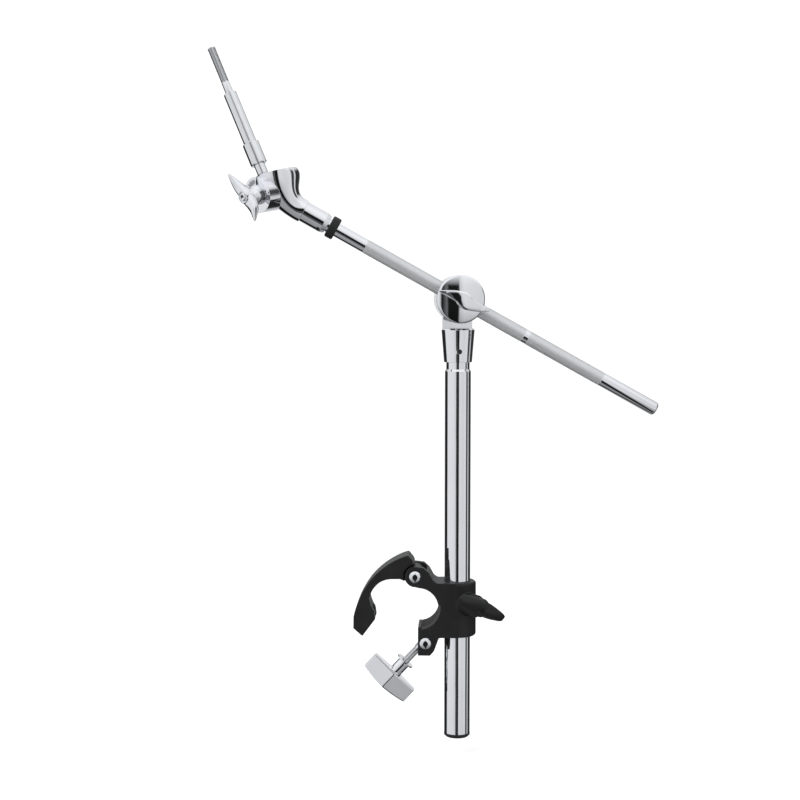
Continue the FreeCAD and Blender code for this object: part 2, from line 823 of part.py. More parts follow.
def post_end_cap():
    """The plug in the lower end of the tube."""
    rim = S.post_bottom - S.fit_gap
    low = S.post_bottom - S.cap_height
    edge = 1.6
    top = rim + 15
    plug = S.post_radius - S.post_wall - S.fit_gap
    body = turned(
        "post_end_cap",
        [
            (0, low),
            (S.post_radius - edge, low),
            (S.post_radius, low + edge),
            (S.post_radius, rim),
            (plug, rim),
            (plug, top),
            (0, top),
        ],
    )
    place(body, x=S.post_x)


# ---------------------------------------------------------------- boom tilter


def tilter_base():
    """The tapered sleeve on the post neck, with the round ear the drum turns against."""
    foot = S.seam_height - S.tilt_height + S.face_gap
    bore = S.neck_radius + S.fit_gap
    roof = foot + S.neck_insert + 3 * S.face_gap
    body = turned(
        "tilter_base",
        [
            (bore, foot),
            (S.sleeve_bottom_radius, foot),
            (S.sleeve_top_radius, S.sleeve_top - 1.5),
            (S.sleeve_top_radius - 1.5, S.sleeve_top),
            (0, S.sleeve_top),
            (0, roof),
            (bore, roof),
        ],
    )
    back = S.drum_back - S.ear_thickness
    disc(body, "XZ_Plane", "ear", (0, 0), S.drum_radius, back, S.ear_thickness)
    half = S.sleeve_top_radius - 2
    web = [(-half, S.sleeve_top - 1), (half, S.sleeve_top - 1), (half, -8), (-half, -8)]
    slab(body, "XZ_Plane", "web", web, back, S.ear_thickness)
    drill(body, "XZ_Plane", "axle_hole", (0, 0), S.bolt_radius + 2 * S.fit_gap, back, S.ear_thickness)
    screw = S.base_screw_radius + 2 * S.fit_gap
    drill(body, "XZ_Plane", "screw_hole", (0, -S.screw_drop), screw, 0, S.sleeve_top_radius)
    body.Placement = head_frame()


def base_set_screw():
    """The screw that bites on the neck of the post."""
    near = S.neck_radius + S.face_gap
    far = near + 2.2
    radius = S.base_screw_radius
    body = turned("base_set_screw", [(0, near), (radius, near), (radius, far), (0, far)])
    turn = Placement(Vector(0, 0, -S.screw_drop.number), Rotation(ACROSS, 90))
    body.Placement = head_frame() * turn


def tilter_drum():
    """The round holder: a deep pocket for the eye and a cross hole for the rod."""
    body = new_body("tilter_drum")
    back = S.drum_back + S.face_gap
    disc(body, "XY_Plane", "drum", (0, 0), S.drum_radius, back, S.drum_front - back)
    pocket_end = eye_end() + S.face_gap
    drill(body, "XY_Plane", "eye_pocket", (0, 0), eye_radius() + S.fit_gap, back, pocket_end - back)
    stud = S.bolt_radius + S.fit_gap
    drill(body, "XY_Plane", "stud_hole", (0, 0), stud, back, S.drum_front - back + 1)
    cross_hole(body, S.rod_radius + S.fit_gap)
    body.Placement = drum_frame()


def eye_radius():
    """Radius of the eye round the rod."""
    return S.rod_radius + S.eye_wall


def eye_end():
    """Front face of the eye."""
    return S.rod_offset + S.rod_radius + S.eye_lip


def cross_hole(body, radius):
    """The hole for the rod, straight across."""
    hole = new_sketch(body, "YZ_Plane", "rod_hole")
    circle(hole, 0, S.rod_offset, radius)
    pocket(hole, S.drum_radius * 3, both=True)


def rod_eye_bolt():
    """The eye that grips the rod, with the stud for the round nut."""
    back = S.drum_back + 0.6
    end = eye_end()
    tip = S.nut_front - 2
    body = turned(
        "rod_eye_bolt",
        [
            (0, back),
            (eye_radius(), back),
            (eye_radius(), end),
            (S.bolt_radius, end),
            (S.bolt_radius, tip),
            (0, tip),
        ],
    )
    cross_hole(body, S.rod_radius + S.fit_gap)
    drill(body, "XY_Plane", "tapped_hole", (0, 0), S.bolt_radius + S.fit_gap, back, 4.2)
    body.Placement = drum_frame()


def tilt_axle_screw():
    """The screw from the back of the ear into the eye."""
    under = S.drum_back - S.ear_thickness - S.face_gap
    tip = S.drum_back + 4.6
    top = under - S.axle_head_height
    head = S.axle_head_radius
    edge = 1.5
    body = turned(
        "tilt_axle_screw",
        [
            (0, top),
            (head - edge, top),
            (head, top + edge),
            (head, under),
            (S.bolt_radius, under),
            (S.bolt_radius, tip),
            (0, tip),
        ],
    )
    body.Placement = drum_frame()


def front_frame():
    """On the tilt axis: Z towards the front, X across and Y up."""
    return head_frame() * Placement(Vector(), Rotation(ACROSS, UP, -AWAY, "XYZ"))


def tilter_nut():
    """The round hand nut with the raised S-shaped lever on its face."""
    back = S.drum_front + S.washer_thickness + 2 * S.face_gap
    face = S.nut_front
    bore = S.bolt_radius + S.fit_gap
    blind = face - 1.5
    body = turned(
        "tilter_nut",
        [
            (bore, back),
            (S.nut_radius - 1, back),
            (S.nut_radius, back + 1),
            (S.nut_radius, face - S.nut_bevel),
            (S.nut_radius - S.nut_bevel, face),
            (0, face),
            (0, blind),
            (bore, blind),
        ],
    )
    lever = [
        # upper edge, from the broad end to the narrow one
        (-20.5, 8.6),
        (-3.6, 7.8),
        (7.6, 5.4),
        (9, 1.8),
        (13.4, -2.3),
        (20.5, -5.8),
        (26, -7.4),
        (27.2, -9.4),
        # lower edge, back again
        (26.4, -11.6),
        (16.3, -11.8),
        (2, -9.2),
        (-2.7, -6.4),
        (-5.6, -1.8),
        (-12.2, 2),
        (-20.5, 6.4),
    ]
    slab(body, "XY_Plane", "lever", lever, face - 0.5, S.lever_rise + 0.5)
    body.Placement = front_frame()


# ---------------------------------------------------------------- boom


def boom_rod():
    """The rod, rounded at its low end."""
    rod = S.rod_radius
    low = -S.rod_right
    body = turned(
        "boom_rod",
        [
            (0, low),
            (rod - 2.5, low),
            (rod - 0.8, low + 0.8),
            (rod, low + 2.6),
            (rod, S.rod_left),
            (0, S.rod_left),
        ],
    )
    body.Placement = rod_frame()


def stop_ring():
    """The ring that marks how far the rod is pushed in."""
    low = S.ring_centre - S.ring_width / 2
    high = S.ring_centre + S.ring_width / 2
    bore = S.rod_radius + S.fit_gap
    edge = 1
    body = turned(
        "stop_ring",
        [
            (bore, low),
            (S.ring_radius - edge, low),
            (S.ring_radius, low + edge),
            (S.ring_radius, high - edge),
            (S.ring_radius - edge, high),
            (bore, high),
        ],
    )
    body.Placement = rod_frame()


def neck_sleeve():
    """The sleeve between the ring and the casting, tapered at its near end."""
    bore = S.rod_radius + S.press_gap
    body = turned(
        "neck_sleeve",
        [
            (bore, S.neck_near),
            (S.neck_sleeve_radius - 1.4, S.neck_near),
            (S.neck_sleeve_radius, S.neck_near + 4),
            (S.neck_sleeve_radius, S.neck_far),
            (bore, S.neck_far),
        ],
    )
    screw = S.neck_screw_radius + S.fit_gap
    drill(body, "XZ_Plane", "screw_hole", (0, neck_screw_height()), screw, 0, THROUGH)
    body.Placement = rod_frame() * Placement(Vector(), Rotation(UP, S.neck_screw_turn.number))


def neck_screw_height():
    """From the tilt axis along the rod to the neck sleeve's screw."""
    return S.neck_near + S.neck_screw_place


def neck_set_screw():
    """The screw in the neck sleeve."""
    near = S.rod_radius + S.fit_gap
    far = S.neck_sleeve_radius + 0.6
    radius = S.neck_screw_radius
    body = turned("neck_set_screw", [(0, near), (radius, near), (radius, far), (0, far)])
    out = Placement(Vector(0, 0, neck_screw_height().number), Rotation(ACROSS, 90))
    body.Placement = rod_frame() * Placement(Vector(), Rotation(UP, S.neck_screw_turn.number)) * out


# ---------------------------------------------------------------- cymbal tilter


def loft(body, name, sections, cut=False):
    """Adds or cuts a smooth tube through circles: (centre, direction it faces, radius)."""
    sketches = []
    for number, (centre, along, radius) in enumerate(sections):
        sketch = new_sketch(body, "XY_Plane", f"{name}_{number}", turn=Rotation(UP, along))
        for axis, value in zip("xyz", centre):
            sketch.setExpression(f"AttachmentOffset.Base.{axis}", as_length(value).formula)
        circle(sketch, 0, 0, radius)
        sketches.append(sketch)
    kind = "PartDesign::SubtractiveLoft" if cut else "PartDesign::AdditiveLoft"
    feature = body.newObject(kind, name)
    feature.Profile = sketches[0]
    feature.Sections = sketches[1:]
    return feature


def over_bolt(lift, shift, back):
    """A point in the horn, from how far it is up its mouth's direction, towards the boom and back."""
    up = S.mouth_turn
    return (lift * cosine(up) + shift * sine(up), lift * sine(up) - shift * cosine(up), back)


def on_neck(distance):
    """A point on the boom's axis, from how far it is from the tilt bolt."""
    return (0, -1 * distance * sine(S.elbow_angle), -1 * distance * cosine(S.elbow_angle))


def cymbal_housing():
    """The casting: a barrel with the wing nut, a horn that bends from the boom up to its mouth."""
    body = new_body("cymbal_housing")
    back = S.barrel_back
    disc(body, "XY_Plane", "barrel", (0, 0), S.barrel_radius, back, S.barrel_near - back)
    disc(body, "XY_Plane", "boss", (0, 0), S.boss_radius, S.boss_far, back - S.boss_far)

    seam = S.elbow_distance - S.neck_far - S.face_gap
    inward = Vector(0, sine(S.elbow_angle).number, cosine(S.elbow_angle).number)
    upward = Vector(cosine(S.mouth_turn).number, sine(S.mouth_turn).number, 0)
    halfway = inward + upward
    mouth = over_bolt(S.mouth_lift, S.mouth_shift, S.mouth_back)
    bend = over_bolt(S.mouth_lift * -0.3, S.bend_radius * 0.6, S.bend_radius * -0.67)
    horn = [
        (on_neck(seam), inward, S.flange_radius),
        (on_neck(seam * 0.8), inward, S.flange_radius),
        (bend, halfway, S.bend_radius),
        (mouth, upward, S.mouth_radius),
    ]
    loft(body, "horn", horn)
    hollow = [
        (over_bolt(S.mouth_lift + 0.5, S.mouth_shift, S.mouth_back), upward, S.mouth_radius - S.mouth_wall),
        (over_bolt(S.cavity_floor, 1, -1), upward, S.floor_radius),
    ]
    loft(body, "hollow", hollow, cut=True)

    along_neck = Rotation(UP, 180 - S.elbow_angle.number)
    socket = new_sketch(body, "YZ_Plane", "socket", turn=along_neck)
    bore = S.rod_radius + S.press_gap
    depth = S.elbow_distance - S.rod_left - 2 * S.face_gap
    # the same cut trims the casting flat at the seam
    clear = 2 * S.barrel_radius
    beyond = seam + S.mouth_radius
    outline(socket, [(0, depth), (bore, depth), (bore, seam), (clear, seam), (clear, beyond), (0, beyond)])
    revolve(socket, cut=True)

    wide = S.knuckle_radius + 0.4
    reach = S.slot_reach
    first = (wide * sine(S.slot_start), -1 * wide * cosine(S.slot_start))
    last = (-1 * wide * sine(S.slot_end), wide * cosine(S.slot_end))
    slot = [
        first,
        (first[0] + reach * cosine(S.slot_start), first[1] + reach * sine(S.slot_start)),
        polar((S.slot_start + S.slot_end) / 2, 1.2 * reach),
        (last[0] + 2 * reach * cosine(S.slot_end), last[1] + 2 * reach * sine(S.slot_end)),
        (*last, wide),
    ]
    cut_across(body, "XY_Plane", "rod_slot", slot, S.slot_half * 2)

    windows = new_sketch(body, "XY_Plane", "windows", S.barrel_near)
    for start in (S.upper_window, S.lower_window):
        end = start + S.window_sweep
        outline(
            windows,
            [
                polar(start, S.window_inner),
                polar(start, S.window_outer, S.window_outer),
                polar(end, S.window_outer),
                polar(end, S.window_inner, -S.window_inner),
            ],
        )
    pocket(windows, S.window_depth)
    pin_hole(body, "bolt_hole", 0, 0, "XY_Plane", S.bolt_radius)
    # a flat face for the bolt's head, where the horn would swell over it
    deep = S.barrel_radius
    drill(body, "XY_Plane", "spot_face", (0, 0), S.boss_radius, S.boss_far - deep, deep)
    body.Placement = elbow_frame()


def cymbal_tilt_bolt():
    """The round-headed bolt the cymbal rod tilts on."""
    under = S.boss_far - S.face_gap
    end = S.wing_hub_end + 1.5
    body = turned(
        "cymbal_tilt_bolt",
        [
            (0, under - 4),
            (3, under - 4, 10),
            (8.5, under),
            (S.bolt_radius, under),
            (S.bolt_radius, end - 0.8),
            (S.bolt_radius - 0.8, end),
            (0, end),
        ],
    )
    body.Placement = elbow_frame()


def cymbal_wing_nut():
    """The wing nut with two pointed wings."""
    start = S.barrel_near + S.washer_thickness + 2 * S.face_gap
    bore = S.bolt_radius + S.fit_gap
    hub = 5.4
    end = S.wing_hub_end
    body = turned(
        "cymbal_wing_nut",
        [
            (bore, start),
            (8, start),
            (8, start + 2),
            (hub + 1, start + 6),
            (hub, end),
            (bore, end),
        ],
    )
    wings = new_sketch(body, "XZ_Plane", "wings")
    span = S.nut_wing_span
    for side in (-1, 1):
        outline(
            wings,
            [
                # lower edge, out to the point
                (side * (bore + 0.6), start + 3),
                (side * 9, start + 3.5),
                (side * 18, start + 9),
                (side * span, end + 1),
                # upper edge, back to the hub
                (side * (span - 1), end + 2.5),
                (side * 20, end + 2),
                (side * (bore + 0.6), end - 1),
            ],
        )
    pad(wings, 4, both=True)
    body.Placement = elbow_frame() * Placement(Vector(), Rotation(UP, S.wing_turn.number))


def cymbal_rod():
    """The rod: knuckle, neck, plain shank and threaded tip."""
    tip = S.cymbal_reach
    body = turned(
        "cymbal_rod",
        [
            (0, S.tongue_end),
            (S.rod_neck_radius, S.tongue_end),
            (S.rod_neck_radius, collar_bottom() - S.face_gap),
            (S.core_radius, collar_bottom() - S.face_gap),
            (S.core_radius, S.seat_top),
            (S.thread_radius, S.seat_top),
            (S.thread_radius, tip - 1),
            (S.thread_radius - 1, tip),
            (0, tip),
        ],
    )
    half = S.slot_half - S.face_gap
    knuckle = S.knuckle_radius
    tongue = new_sketch(body, "YZ_Plane", "tongue")
    root = S.tongue_end + 1
    wide = S.rod_neck_radius - 1.9
    round_end = [(-knuckle, 0, knuckle), (0, -knuckle, knuckle)]
    outline(tongue, [(knuckle, 0), (wide, root), (-wide, root), *round_end])
    pad(tongue, half * 2, both=True)
    pin_hole(body, "bolt_hole", 0, 0, "YZ_Plane", S.bolt_radius)
    body.Placement = cymbal_frame()


def collar_bottom():
    """Lower end of the rod's collar, from the tilter's axis."""
    return S.seat_top - S.seat_length - S.collar_length - S.face_gap


def sleeve_on_rod(label, low, high, radius):
    """A plain sleeve pushed on the cymbal rod."""
    bore = S.core_radius + S.press_gap
    edge = 0.6
    body = turned(
        label,
        [
            (bore, low),
            (radius - edge, low),
            (radius, low + edge),
            (radius, high - edge),
            (radius - edge, high),
            (bore, high),
        ],
    )
    body.Placement = cymbal_frame()


# ---------------------------------------------------------------- build


def build():
    """Every sub-part in its place."""
    clamp_body()
    clamp_arm()
    pivot_pin("arm_pivot_pin", S.arm_pin_x, S.arm_pin_z)
    pivot_pin("bolt_pivot_pin", S.bolt_pin_x, S.bolt_pin_z)
    jaw_pad()
    swing_bolt()
    bolt_bore = S.bolt_radius + S.fit_gap
    washer("knob_washer", S.washer_start, S.washer_thickness, S.washer_radius, bolt_bore, bolt_frame())
    clamp_knob()
    lock_nut()
    lock_stud()
    lock_wing()
    post_tube()
    post_end_cap()
    tilter_base()
    base_set_screw()
    tilter_drum()
    rod_eye_bolt()
    tilt_axle_screw()
    start = S.drum_front + S.face_gap
    washer("tilter_washer", start, S.washer_thickness, S.drum_radius / 2, bolt_bore, drum_frame())
    tilter_nut()
    boom_rod()
    stop_ring()
    neck_sleeve()
    neck_set_screw()
    cymbal_housing()
    cymbal_tilt_bolt()
    start = S.barrel_near + S.face_gap
    washer("cymbal_washer", start, S.washer_thickness, S.washer_radius, bolt_bore, elbow_frame())
    cymbal_wing_nut()
    cymbal_rod()
    seat_bottom = S.seat_top - S.seat_length
    sleeve_on_rod("cymbal_seat", seat_bottom, S.seat_top, S.seat_radius)
    sleeve_on_rod("rod_collar", collar_bottom(), seat_bottom - S.face_gap, S.rod_collar_radius)


def check(obj):
    """Stops the build if an object didn't come out right."""
    bad = [state for state in obj.State if state in ("Invalid", "Error")]
    if bad:
        raise RuntimeError(f"{obj.Name} is {bad}")
    if hasattr(obj, "Shape") and (obj.Shape.isNull() or not obj.Shape.isValid()):
        raise RuntimeError(f"{obj.Name} has no valid shape")


build()
doc.recompute()
for thing in doc.Objects:
    check(thing)
os.makedirs(OUT_DIR, exist_ok=True)
for body in doc.findObjects("PartDesign::Body"):
    body.Shape.exportStep(os.path.join(OUT_DIR, body.Label + ".step"))
    print(body.Label, len(body.Shape.Solids), round(body.Shape.Volume))
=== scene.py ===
"""Looks of the cymbal boom arm: finishes, fine shapes, studio and camera.

Shapes are written in millimetres, in a frame of their own joint or mount, and put on the
body that they move with. Materials and the studio are in metres, as the scene is.
"""

import bmesh
import bpy
import json
import math
from mathutils import Euler, Matrix, Vector


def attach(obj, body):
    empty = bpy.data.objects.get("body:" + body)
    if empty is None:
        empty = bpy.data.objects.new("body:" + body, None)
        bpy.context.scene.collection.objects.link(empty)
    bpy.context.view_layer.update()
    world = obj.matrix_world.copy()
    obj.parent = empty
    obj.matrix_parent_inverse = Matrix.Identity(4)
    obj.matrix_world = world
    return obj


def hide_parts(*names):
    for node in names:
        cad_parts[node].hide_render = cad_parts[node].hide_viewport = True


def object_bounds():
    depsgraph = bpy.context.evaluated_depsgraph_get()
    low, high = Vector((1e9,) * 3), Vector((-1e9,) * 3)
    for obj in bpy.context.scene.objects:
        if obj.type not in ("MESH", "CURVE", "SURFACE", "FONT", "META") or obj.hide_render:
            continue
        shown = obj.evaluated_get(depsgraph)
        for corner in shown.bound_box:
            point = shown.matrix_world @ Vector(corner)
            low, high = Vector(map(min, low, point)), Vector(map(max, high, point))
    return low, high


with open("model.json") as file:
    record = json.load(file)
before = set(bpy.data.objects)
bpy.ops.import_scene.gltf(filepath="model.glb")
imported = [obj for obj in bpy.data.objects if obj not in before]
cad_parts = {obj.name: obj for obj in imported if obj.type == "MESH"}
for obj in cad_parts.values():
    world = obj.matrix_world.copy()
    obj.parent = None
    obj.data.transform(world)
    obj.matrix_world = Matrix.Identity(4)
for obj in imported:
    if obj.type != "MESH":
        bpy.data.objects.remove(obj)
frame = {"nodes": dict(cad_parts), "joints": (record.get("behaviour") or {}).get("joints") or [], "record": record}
CAD_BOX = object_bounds()
NODES = frame["nodes"]
JOINTS = {joint["name"]: joint for joint in frame["joints"]}
MM = 0.001

# ---------------------------------------------------------------- materials


class Graph:
    """A material's nodes, made with short calls."""

    def __init__(self, name):
        self.material = bpy.data.materials.new(name)
        self.material.use_nodes = True
        self.tree = self.material.node_tree
        self.shader = self.tree.nodes["Principled BSDF"]
        self.place = self.tree.nodes.new("ShaderNodeTexCoord").outputs["Object"]

    def plug(self, node, **inputs):
        """Sets a node's inputs to values or links them to sockets."""
        for name, value in inputs.items():
            socket = node.inputs[name.replace("_", " ")]
            if isinstance(value, bpy.types.NodeSocket):
                self.tree.links.new(value, socket)
            else:
                socket.default_value = value

    def add(self, kind, settings=None, **inputs):
        """A new node with its settings and inputs."""
        node = self.tree.nodes.new("ShaderNode" + kind)
        for name, value in (settings or {}).items():
            setattr(node, name, value)
        self.plug(node, **inputs)
        return node

    def noise(self, scale, detail=3.0, stretch=None):
        """Noise in metres, stretched along an axis if asked."""
        place = self.place
        if stretch is not None:
            place = self.add("Mapping", Vector=place, Scale=stretch).outputs["Vector"]
        return self.add("TexNoise", Vector=place, Scale=scale, Detail=detail).outputs["Fac"]

    def ramp(self, value, low, high):
        """A value from 0..1 mapped to low..high."""
        return self.add("MapRange", Value=value, To_Min=low, To_Max=high).outputs["Result"]

    def mix(self, factor, first, second):
        """A blend of two colours."""
        node = self.add("Mix", {"data_type": "RGBA"})
        self.tree.links.new(factor, node.inputs["Factor"])
        for socket, colour in ((node.inputs[6], first), (node.inputs[7], second)):
            if isinstance(colour, bpy.types.NodeSocket):
                self.tree.links.new(colour, socket)
            else:
                socket.default_value = (*colour, 1)
        return node.outputs[2]

    def soft_normal(self, radius):
        """The surface's direction, with corners rounded by a radius."""
        return self.add("Bevel", {"samples": 4}, Radius=radius).outputs["Normal"]

    def edges(self, width):
        """Where the surface bends within a width: 0 on flats, 1 on edges."""
        flat = self.add("NewGeometry").outputs["Normal"]
        dot = self.add("VectorMath", {"operation": "DOT_PRODUCT"})
        self.tree.links.new(self.soft_normal(width), dot.inputs[0])
        self.tree.links.new(flat, dot.inputs[1])
        node = self.add("MapRange", Value=dot.outputs["Value"], From_Min=0.99, From_Max=0.8)
        return node.outputs["Result"]

    def rough(self, height, distance, strength=1.0, corner=0.0):
        """A bump from a height, over corners softened by a small radius."""
        bump = self.add("Bump", Height=height, Distance=distance, Strength=strength)
        if corner:
            self.plug(bump, Normal=self.soft_normal(corner))
        return bump.outputs["Normal"]


def chrome():
    """Polished chrome: a faint waviness, smudges and duller edges."""
    g = Graph("chrome")
    smudge = g.noise(60, 4)
    tint = g.mix(smudge, (0.86, 0.87, 0.90), (0.93, 0.935, 0.95))
    normal = g.rough(g.noise(45, 1), 0.00012, corner=0.0004)
    g.plug(g.shader, Base_Color=tint, Metallic=1.0, Normal=normal)
    g.plug(g.shader, Roughness=g.ramp(smudge, 0.03, 0.08))
    return g.material


def satin_steel():
    """Zinc-plated steel: fine brushing and slight stains."""
    g = Graph("satin_steel")
    brush = g.noise(900, 2, (1, 1, 0.06))
    stain = g.noise(120, 5)
    tint = g.mix(stain, (0.76, 0.77, 0.79), (0.88, 0.89, 0.90))
    normal = g.rough(brush, 0.00001, corner=0.0003)
    g.plug(g.shader, Base_Color=tint, Metallic=1.0, Normal=normal)
    g.plug(g.shader, Roughness=g.ramp(brush, 0.07, 0.13))
    return g.material


def knurled_steel():
    """Chrome over a cut knurl: pale crests, and grooves darkened with painted shade that dust mottles."""
    g = Graph("knurled_steel")
    dust = g.noise(700, 4)
    # Painted shade: where pointiness is low, the grooves are painted dark, and dust noise mottles that shade; the
    # crests keep the steel's pale colour.
    relief = g.add("NewGeometry").outputs["Pointiness"]
    crest = g.add("MapRange", Value=relief, From_Min=0.44, From_Max=0.56).outputs["Result"]
    groove_shade_and_dust = g.mix(dust, (0.2, 0.21, 0.22), (0.38, 0.39, 0.4))
    tint = g.mix(crest, groove_shade_and_dust, (0.9, 0.91, 0.92))
    g.plug(g.shader, Base_Color=tint, Metallic=0.75, Normal=g.rough(dust, 0.00003))
    g.plug(g.shader, Roughness=g.ramp(crest, 0.45, 0.3))
    return g.material


def blackened_steel():
    """Oxide-black set screws, slightly oily."""
    g = Graph("blackened_steel")
    oil = g.noise(500, 3)
    tint = g.mix(oil, (0.01, 0.01, 0.011), (0.03, 0.03, 0.032))
    normal = g.rough(oil, 0.00002, corner=0.0003)
    g.plug(g.shader, Base_Color=tint, Metallic=0.4, Normal=normal)
    g.plug(g.shader, Roughness=g.ramp(oil, 0.35, 0.5))
    return g.material


def black_plastic():
    """Moulded glass-filled nylon: fine grain, rubbed and paler on its edges."""
    g = Graph("black_plastic")
    grain = g.noise(2600, 2)
    cloud = g.noise(70, 4)
    worn = g.edges(0.0012)
    tint = g.mix(cloud, (0.006, 0.006, 0.0065), (0.012, 0.012, 0.0125))
    tint = g.mix(g.ramp(worn, 0.0, 0.5), tint, (0.04, 0.04, 0.041))
    normal = g.rough(grain, 0.00006, 0.7, corner=0.0008)
    g.plug(g.shader, Base_Color=tint, Specular_IOR_Level=0.25, Normal=normal)
    g.plug(g.shader, Roughness=g.ramp(grain, 0.36, 0.52))
    return g.material


def grey_rubber():
    """Dull rubber with a dusty surface."""
    g = Graph("grey_rubber")
    dust = g.noise(300, 5)
    tint = g.mix(dust, (0.02, 0.02, 0.021), (0.055, 0.055, 0.056))
    g.plug(g.shader, Base_Color=tint, Normal=g.rough(dust, 0.0001))
    g.plug(g.shader, Roughness=g.ramp(dust, 0.65, 0.85))
    return g.material


SLOT_FINISH = {
    "chrome": chrome(),
    "bright_steel": satin_steel(),
    "knurled_steel": knurled_steel(),
    "black_plastic": black_plastic(),
    "grey_rubber": grey_rubber(),
}


# These are blackened, though their slot is the plain steel of the other screws.
SET_SCREWS = ("base_set_screw", "neck_set_screw")


def finish_cad_nodes():
    """Gives each node from the frame the finish of its slot; the set screws are blackened."""
    for part in frame["record"]["subparts"]:
        mesh = NODES[part["node"]].data
        mesh.materials.clear()
        mesh.materials.append(SLOT_FINISH[part["material_slot"]])
    black = blackened_steel()
    for screw in SET_SCREWS:
        NODES[screw].data.materials[0] = black


# ---------------------------------------------------------------- frames


def axes(origin, along, side):
    """A frame at a point: Z along one way, X as near as it can be to a side."""
    z = Vector(along).normalized()
    y = z.cross(Vector(side)).normalized()
    x = y.cross(z)
    turn = Matrix((x, y, z)).transposed().to_4x4()
    return Matrix.Translation(Vector(origin)) @ turn


def turned(place, angle):
    """A frame turned about its own Z."""
    return place @ Matrix.Rotation(math.radians(angle), 4, "Z")


UP = Vector((0, 0, 1))
WORLD = Matrix.Identity(4)
ROD_AXIS = Vector(JOINTS["boom_turn"]["axis"])
WING_AXIS = Vector(JOINTS["cymbal_tilt"]["axis"])
MOUNTS = {mount["name"]: mount for mount in frame["record"]["mounts"]}
CYMBAL_AXIS = Vector(MOUNTS["cymbal_post"]["axis"])
# How far the cymbal tilter's wing nut and the post lock's wing are turned.
NUT_WING_TURN = 72
LOCK_WING_ROLL = -27

TILT_AXIS = Vector(JOINTS["boom_tilt"]["axis"])


def joint_frame(name, side):
    """The frame of a joint: Z along its axis, X as near as it can be to a side."""
    joint = JOINTS[name]
    return axes(joint["pos_m"], joint["axis"], side)


# The frames that the shapes are written in.
ROD = axes(JOINTS["boom_turn"]["pos_m"], -ROD_AXIS, UP)
FRONT = joint_frame("nut_turn", TILT_AXIS.cross(UP))
ELBOW = joint_frame("cymbal_tilt", WING_AXIS.cross(ROD_AXIS))
CYMBAL = axes(JOINTS["cymbal_tilt"]["pos_m"], CYMBAL_AXIS, WING_AXIS)
BOLT = joint_frame("knob_turn", (1, 0, 0))
LOCK = joint_frame("wing_turn", UP.cross(JOINTS["wing_turn"]["axis"]))

# ---------------------------------------------------------------- mesh helpers


def reach(name, place):
    """A CAD node's lowest and highest height and its largest radius in a frame."""
    inside = place.inverted() @ NODES[name].matrix_world
    points = [inside @ vertex.co / MM for vertex in NODES[name].data.vertices]
    heights = [point.z for point in points]
    return min(heights), max(heights), max(point.xy.length for point in points)


def add_piece(mesh, place, body, slot, *replaced, crease=35):
    """Puts a mesh in its frame, on its body, in place of CAD nodes; edges past crease are sharp."""
    mesh.transform(place @ Matrix.Scale(MM, 4))
    mesh.materials.clear()
    mesh.materials.append(SLOT_FINISH[slot])
    mesh.shade_smooth()
    if crease:
        mesh.set_sharp_from_angle(angle=math.radians(crease))
    piece = bpy.data.objects.new(mesh.name, mesh)
    bpy.context.scene.collection.objects.link(piece)
    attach(piece, body)
    if replaced:
        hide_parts(*replaced)
    return piece


def skin(name, loops):
    """A closed mesh over loops of points, with a cap on each end."""
    count = len(loops[0])
    verts = [point for loop in loops for point in loop]
    faces = [tuple(reversed(range(count)))]
    for row in range(len(loops) - 1):
        for k in range(count):
            a = row * count + k
            b = row * count + (k + 1) % count
            faces.append((a, b, b + count, a + count))
    last = (len(loops) - 1) * count
    faces.append(tuple(range(last, last + count)))
    mesh = bpy.data.meshes.new(name)
    mesh.from_pydata(verts, [], faces)
    return joined(name, mesh)


def joined(name, *meshes):
    """Several closed meshes as one, with their normals outwards."""
    shape = bmesh.new()
    for mesh in meshes:
        shape.from_mesh(mesh)
    bmesh.ops.recalc_face_normals(shape, faces=shape.faces)
    whole = bpy.data.meshes.new(name)
    shape.to_mesh(whole)
    shape.free()
    for mesh in meshes:
        bpy.data.meshes.remove(mesh)
    whole.name = name
    return whole


def ring(radius, height, sides):
    """Points round the axis; the radius may be a function of the angle."""
    loop = []
    for k in range(sides):
        angle = 2 * math.pi * k / sides
        r = radius(angle) if callable(radius) else radius
        loop.append((r * math.cos(angle), r * math.sin(angle), height))
    return loop


def lathe(name, profile, sides=96):
    """A closed turned mesh from (radius, height) rows, as ring takes them."""
    return skin(name, [ring(radius, height, sides) for radius, height in profile])


def steps(low, high, pitch):
    """Even heights from low to high, about one pitch apart."""
    count = max(1, round((high - low) / pitch))
    return [low + (high - low) * k / count for k in range(count + 1)]


def through(points, parts):
    """Points along a smooth curve through the given ones."""
    curve = []
    last = len(points) - 1
    for k in range(last):
        near = [points[min(max(j, 0), last)] for j in (k - 1, k, k + 1, k + 2)]
        for step in range(parts):
            t = step / parts
            weights = (
                2 * t**2 - t - t**3,
                2 - 5 * t**2 + 3 * t**3,
                t + 4 * t**2 - 3 * t**3,
                t**3 - t**2,
            )
            columns = zip(*near)
            curve.append([sum(w * p for w, p in zip(weights, column)) / 2 for column in columns])
    curve.append(list(points[-1]))
    return curve


def squared(wave, power):
    """A sine or cosine with its round top flattened, for a section between round and square."""
    return math.copysign(abs(wave) ** power, wave)


def hexagonal(flats):
    """The radius of a hexagon, for a lathe row."""

    def radius(angle):
        off = (angle + math.pi / 6) % (math.pi / 3) - math.pi / 6
        return flats / 2 / math.cos(off)

    return radius


def toothed(crest, depth, count, phase=0.0):
    """The radius of a round row with teeth, for a lathe row."""

    def radius(angle):
        place = (count * angle / (2 * math.pi) + phase) % 1.0
        return crest - depth * (1 - abs(2 * place - 1))

    return radius


THREAD_PITCH = 1.25
THREAD_DEPTH = 0.7
# The radius of the M8 threads, and the cone at their ends.
THREAD_CREST = 3.9
THREAD_CHAMFER = 0.9
ROWS_PER_TURN = 8


